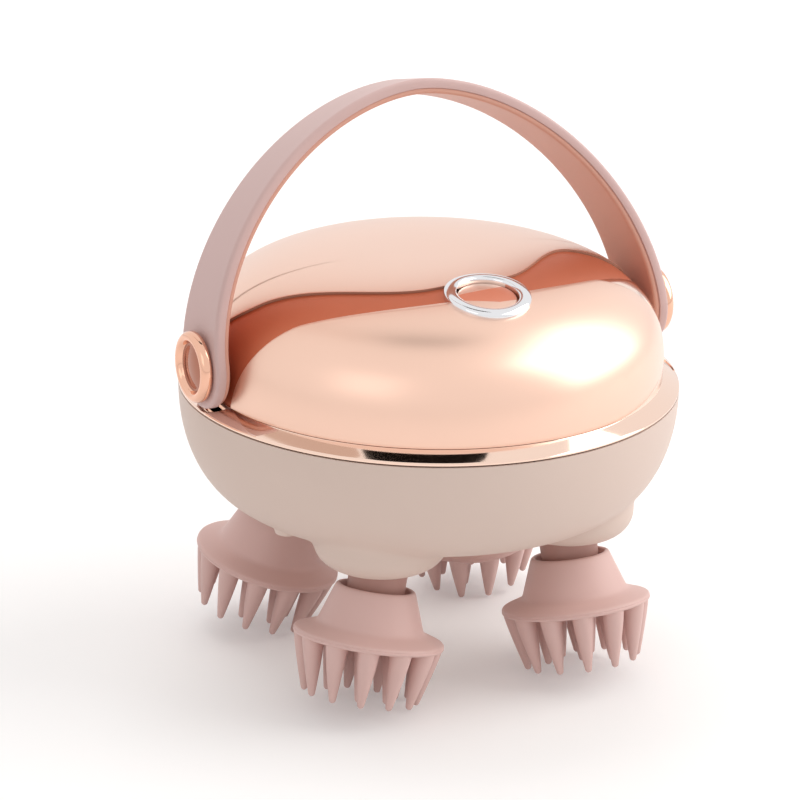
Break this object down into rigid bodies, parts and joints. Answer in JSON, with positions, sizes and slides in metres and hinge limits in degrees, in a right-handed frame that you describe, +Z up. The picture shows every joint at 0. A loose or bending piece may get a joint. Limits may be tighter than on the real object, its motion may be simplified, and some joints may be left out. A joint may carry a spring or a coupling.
{
  "type": "electric scalp massager",
  "caption": "Domed battery massager with turning claw heads of soft fingers on slanted shafts, a push button and a swinging strap handle.",
  "frame": {"origin": "on the floor under the dome's axis", "axes": "+Z up, +X along the strap's hinge, -Y to the front, where the button is"},
  "size_m": [0.09, 0.0854, 0.1004],
  "materials": {
    "pale_shell": "fine matt moulded shell",
    "gasket": "soft dark seal",
    "polished_rose": "mirror rose-gold plating",
    "coral_shell": "satin coral lacquer",
    "pearl_rose": "pearly rose-gold lacquer",
    "silver_ring": "polished silver plating",
    "strap_pink": "soft-touch dusty pink",
    "strap_coral": "soft-touch coral",
    "claw_silicone": "matt dusty pink silicone",
    "neck_silicone": "matt pink-brown silicone",
    "steel": "turned and plated",
    "brass": "turned",
    "white_plastic": "natural moulded plastic",
    "board": "solder mask",
    "cell_wrap": "shrink film",
    "red_wire": "insulation",
    "black_wire": "insulation"
  },
  "bodies": {
    "root": {"lower_housing": "pale_shell", "seam_gasket": "gasket", "trim_ring": "polished_rose", "inner_dome": "coral_shell", "front_panel": "pearl_rose", "rear_panel": "pearl_rose", "button_bezel": "silver_ring", "circuit_board": "board", "tact_switch": "steel", "battery": "cell_wrap", "battery_tray": "white_plastic", "motor_plate": "white_plastic", "plate_screws": "steel", "housing_screws": "steel", "motor": "steel", "compound_axle": "steel", "sun_axle": "steel", "charge_socket": "steel", "battery_leads": "red_wire", "motor_leads": "black_wire", "hinge_cap_left": "polished_rose", "hinge_cap_right": "polished_rose", "hinge_pin_left": "steel", "hinge_pin_right": "steel", "shaft_bush_1": "brass", "shaft_bush_2": "brass", "shaft_bush_3": "brass", "shaft_bush_4": "brass"},
    "button": {"button_cap": "pearl_rose"},
    "strap": {"handle_strap": "strap_pink", "strap_lining": "strap_coral"},
    "sun": {"sun_gear": "white_plastic"},
    "compound": {"compound_gear": "white_plastic"},
    "motor_rotor": {"motor_shaft": "steel", "motor_pinion": "brass"},
    "head_1": {"output_gear_1": "white_plastic", "output_shaft_1": "steel", "neck_1": "neck_silicone", "head_core_1": "white_plastic", "massage_claw_1": "claw_silicone"},
    "head_2": {"output_gear_2": "white_plastic", "output_shaft_2": "steel", "neck_2": "neck_silicone", "head_core_2": "white_plastic", "massage_claw_2": "claw_silicone"},
    "head_3": {"output_gear_3": "white_plastic", "output_shaft_3": "steel", "neck_3": "neck_silicone", "head_core_3": "white_plastic", "massage_claw_3": "claw_silicone"},
    "head_4": {"output_gear_4": "white_plastic", "output_shaft_4": "steel", "neck_4": "neck_silicone", "head_core_4": "white_plastic", "massage_claw_4": "claw_silicone"}
  },
  "joints": [
    {"name": "strap_swing", "type": "hinge", "parent": "root", "child": "strap", "pos_m": [0, 0, 0.0575], "axis": [1, 0, 0], "range_deg": [-50, 80]},
    {"name": "button_press", "type": "slide", "parent": "root", "child": "button", "axis": [0, 0.1705, -0.9854], "range_m": [0, 0.0006], "stiffness_N_per_m": 2500},
    {"name": "sun_spin", "type": "hinge", "parent": "root", "child": "sun", "pos_m": [0, 0, 0.037], "axis": [0, 0, 1], "continuous": true},
    {"name": "compound_spin", "type": "hinge", "parent": "root", "child": "compound", "pos_m": [0, 0.0216, 0.04], "axis": [0, 0, 1], "continuous": true},
    {"name": "motor_spin", "type": "hinge", "parent": "root", "child": "motor_rotor", "pos_m": [0, 0.0091, 0.045], "axis": [0, 0, 1], "continuous": true},
    {"name": "head_1_spin", "type": "hinge", "parent": "root", "child": "head_1", "pos_m": [-0.01782, -0.01782, 0.03], "axis": [0, 0, 1], "continuous": true},
    {"name": "head_2_spin", "type": "hinge", "parent": "root", "child": "head_2", "pos_m": [0.01782, -0.01782, 0.03], "axis": [0, 0, 1], "continuous": true},
    {"name": "head_3_spin", "type": "hinge", "parent": "root", "child": "head_3", "pos_m": [0.01782, 0.01782, 0.03], "axis": [0, 0, 1], "continuous": true},
    {"name": "head_4_spin", "type": "hinge", "parent": "root", "child": "head_4", "pos_m": [-0.01782, 0.01782, 0.03], "axis": [0, 0, 1], "continuous": true}
  ],
  "couplings": [
    {"joint": "compound_spin", "follows": "sun_spin", "ratio": -4.4},
    {"joint": "motor_spin", "follows": "sun_spin", "ratio": 17.6},
    {"joint": "head_1_spin", "follows": "sun_spin", "ratio": -2.3158},
    {"joint": "head_2_spin", "follows": "sun_spin", "ratio": -2.3158},
    {"joint": "head_3_spin", "follows": "sun_spin", "ratio": -2.3158},
    {"joint": "head_4_spin", "follows": "sun_spin", "ratio": -2.3158}
  ]
}
